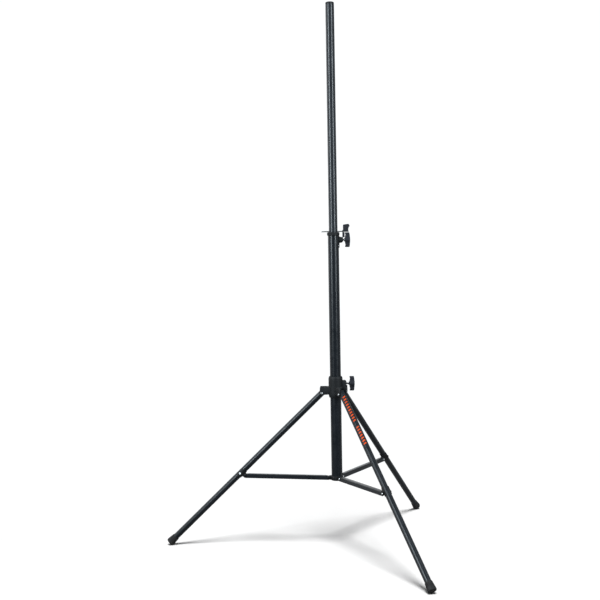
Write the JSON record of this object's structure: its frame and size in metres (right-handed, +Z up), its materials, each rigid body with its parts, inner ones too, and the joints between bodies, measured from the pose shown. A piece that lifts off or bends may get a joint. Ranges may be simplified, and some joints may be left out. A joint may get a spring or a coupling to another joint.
{
  "type": "loudspeaker tripod stand",
  "caption": "Telescopic tripod stand for a PA loudspeaker: tube pole in a main tube with T-knob clamps, safety pin, sliding leg collar, folding legs and struts, rubber feet.",
  "frame": {"origin": "on the floor, at the middle of the open stand's bounding box seen from above; the mast stands beside it on +X", "axes": "+Z up along the mast; leg a points along -X; the two T knobs and the safety pin point along +X; leg b is on the -Y side and leg c on the +Y side"},
  "size_m": [1.0584, 1.217, 2.178],
  "materials": {
    "powder": "satin black powder coat",
    "cast": "black moulded nylon",
    "knob": "fine textured black plastic",
    "rubber": "matt black rubber",
    "zinc": "bright zinc plate",
    "nylon": "natural nylon",
    "decal": "orange print"
  },
  "bodies": {
    "mast": {"main_tube": "powder", "upper_bush": "cast", "clamp_housing": "cast", "clamp_nut": "zinc", "clamp_rivets": "zinc", "pin_keeper": "cast", "hub": "cast", "hub_screws": "zinc"},
    "pole": {"pole": "powder", "pole_cap": "cast", "pole_guide": "nylon"},
    "upper_pad": {"upper_pad": "nylon"},
    "upper_knob": {"upper_knob": "knob", "upper_stud": "zinc"},
    "safety_pin": {"pin_rod": "zinc", "pin_grip": "cast"},
    "collar": {"leg_collar": "cast", "collar_bush": "cast", "collar_nut": "zinc", "ear_rivets": "zinc"},
    "lower_pad": {"lower_pad": "nylon"},
    "lower_knob": {"lower_knob": "knob", "lower_stud": "zinc"},
    "strut_a": {"strut_a": "powder", "strut_rivets_a": "zinc"},
    "leg_a": {"leg_tube_a": "powder", "leg_plug_a": "cast", "leg_pivot_a": "zinc", "leg_bracket_a": "cast", "bracket_bolt_a": "zinc", "foot_a": "rubber"},
    "strut_b": {"strut_b": "powder", "strut_rivets_b": "zinc"},
    "leg_b": {"leg_tube_b": "powder", "leg_plug_b": "cast", "leg_pivot_b": "zinc", "leg_bracket_b": "cast", "bracket_bolt_b": "zinc", "foot_b": "rubber", "leg_decal": "decal"},
    "strut_c": {"strut_c": "powder", "strut_rivets_c": "zinc"},
    "leg_c": {"leg_tube_c": "powder", "leg_plug_c": "cast", "leg_pivot_c": "zinc", "leg_bracket_c": "cast", "bracket_bolt_c": "zinc", "foot_c": "rubber"}
  },
  "joints": [
    {"name": "collar_slide", "type": "slide", "parent": "mast", "child": "collar", "axis": [0, 0, 1], "range_m": [0, 0.45352]},
    {"name": "pole_slide", "type": "slide", "parent": "mast", "child": "pole", "axis": [0, 0, 1], "range_m": [-0.78, 0]},
    {"name": "safety_pin_pull", "type": "slide", "parent": "mast", "child": "safety_pin", "axis": [1, 0, 0], "range_m": [0, 0.07]},
    {"name": "upper_pad_slide", "type": "slide", "parent": "mast", "child": "upper_pad", "axis": [1, 0, 0], "range_m": [0, 0.00156]},
    {"name": "upper_knob_turn", "type": "hinge", "parent": "upper_pad", "child": "upper_knob", "pos_m": [0.21351, 0, 1.2365], "axis": [1, 0, 0], "range_deg": [0, 450]},
    {"name": "lower_pad_slide", "type": "slide", "parent": "collar", "child": "lower_pad", "axis": [1, 0, 0], "range_m": [0, 0.00156]},
    {"name": "lower_knob_turn", "type": "hinge", "parent": "lower_pad", "child": "lower_knob", "pos_m": [0.22301, 0, 0.6591], "axis": [1, 0, 0], "range_deg": [0, 450]},
    {"name": "strut_a_hinge", "type": "hinge", "parent": "mast", "child": "strut_a", "pos_m": [0.13651, 0, 0.27689], "axis": [0, 1, 0], "range_deg": [0, 88.5]},
    {"name": "leg_a_hinge", "type": "hinge", "parent": "strut_a", "child": "leg_a", "pos_m": [-0.2011, 0, 0.28573], "axis": [0, 1, 0], "range_deg": [-134.5, 0]},
    {"name": "strut_b_hinge", "type": "hinge", "parent": "mast", "child": "strut_b", "pos_m": [0.18751, -0.02944, 0.27689], "axis": [-0.866, -0.5, 0], "range_deg": [0, 88.5]},
    {"name": "leg_b_hinge", "type": "hinge", "parent": "strut_b", "child": "leg_b", "pos_m": [0.35632, -0.32183, 0.28573], "axis": [-0.866, -0.5, 0], "range_deg": [-134.5, 0]},
    {"name": "strut_c_hinge", "type": "hinge", "parent": "mast", "child": "strut_c", "pos_m": [0.18751, 0.02944, 0.27689], "axis": [0.866, -0.5, 0], "range_deg": [0, 88.5]},
    {"name": "leg_c_hinge", "type": "hinge", "parent": "strut_c", "child": "leg_c", "pos_m": [0.35632, 0.32183, 0.28573], "axis": [0.866, -0.5, 0], "range_deg": [-134.5, 0]}
  ],
  "couplings": [
    {"joint": "upper_knob_turn", "follows": "upper_pad_slide", "rad_per_m": 5026.5},
    {"joint": "lower_knob_turn", "follows": "lower_pad_slide", "rad_per_m": 5026.5},
    {"joint": "strut_a_hinge", "follows": "collar_slide", "rad_per_m": 3.4058},
    {"joint": "leg_a_hinge", "follows": "collar_slide", "rad_per_m": -5.1761},
    {"joint": "strut_b_hinge", "follows": "collar_slide", "rad_per_m": 3.4058},
    {"joint": "leg_b_hinge", "follows": "collar_slide", "rad_per_m": -5.1761},
    {"joint": "strut_c_hinge", "follows": "collar_slide", "rad_per_m": 3.4058},
    {"joint": "leg_c_hinge", "follows": "collar_slide", "rad_per_m": -5.1761}
  ]
}
